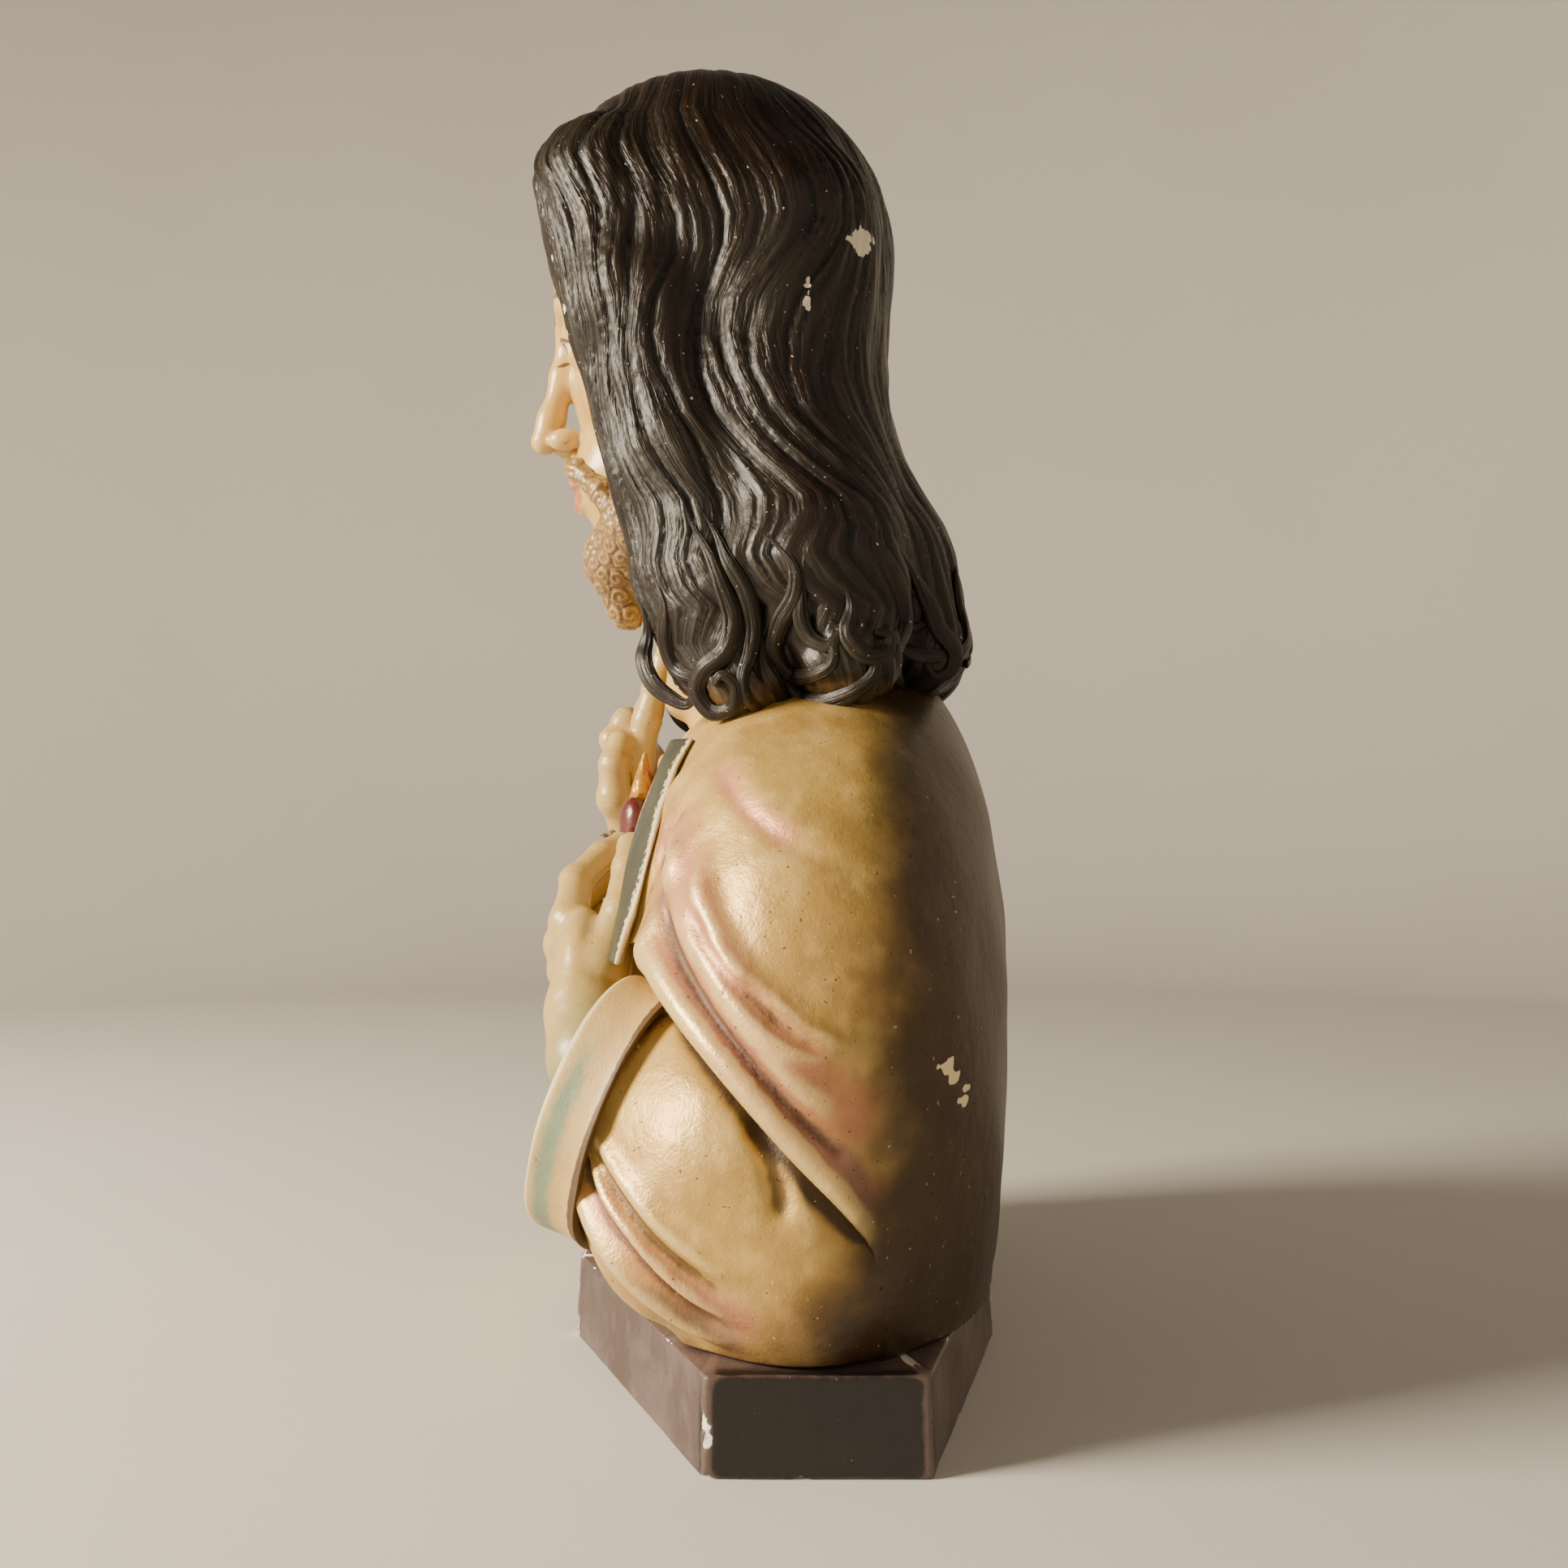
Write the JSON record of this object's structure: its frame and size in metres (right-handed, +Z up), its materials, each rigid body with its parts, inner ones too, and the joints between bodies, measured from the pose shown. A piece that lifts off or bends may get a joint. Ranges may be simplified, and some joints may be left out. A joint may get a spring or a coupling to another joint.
{
  "type": "plaster bust",
  "caption": "Painted hollow plaster bust of a robed, long-haired bearded figure with raised hands and a heart emblem, on a faceted plinth.",
  "frame": {"origin": "middle of the plinth's underside, below the middle of the bust's overall box", "axes": "+Z up, the figure faces -Y, the figure's left side is +X"},
  "size_m": [0.2834, 0.1547, 0.4165],
  "materials": {
    "gold_mantle": "satin gold paint on plaster",
    "cream_tunic": "satin cream paint on plaster",
    "sage_lining": "satin grey-green paint on plaster",
    "flesh_paint": "varnished flesh paint on plaster",
    "brown_hair": "varnished dark brown paint on plaster",
    "beard_paint": "varnished light brown paint on plaster",
    "plinth_paint": "worn dark paint on plaster",
    "heart_red": "red paint on plaster",
    "gilt": "gilt",
    "iron_wire": "plain",
    "wood_dowel": "bare"
  },
  "bodies": {
    "root": {"plinth": "plinth_paint", "torso_tunic": "cream_tunic", "tunic_collar": "cream_tunic", "mantle": "gold_mantle", "lapel_left": "sage_lining", "lapel_right": "sage_lining", "sleeve_left": "gold_mantle", "sleeve_right": "gold_mantle", "cuff_left": "cream_tunic", "cuff_right": "cream_tunic", "hand_left": "flesh_paint", "hand_right": "flesh_paint", "head": "flesh_paint", "hair": "brown_hair", "beard": "beard_paint", "heart": "heart_red", "thorn_ring": "gilt", "flame": "gilt", "neck_dowel": "wood_dowel", "wrist_pin_left": "iron_wire", "wrist_pin_right": "iron_wire", "heart_pin": "iron_wire"}
  },
  "joints": []
}
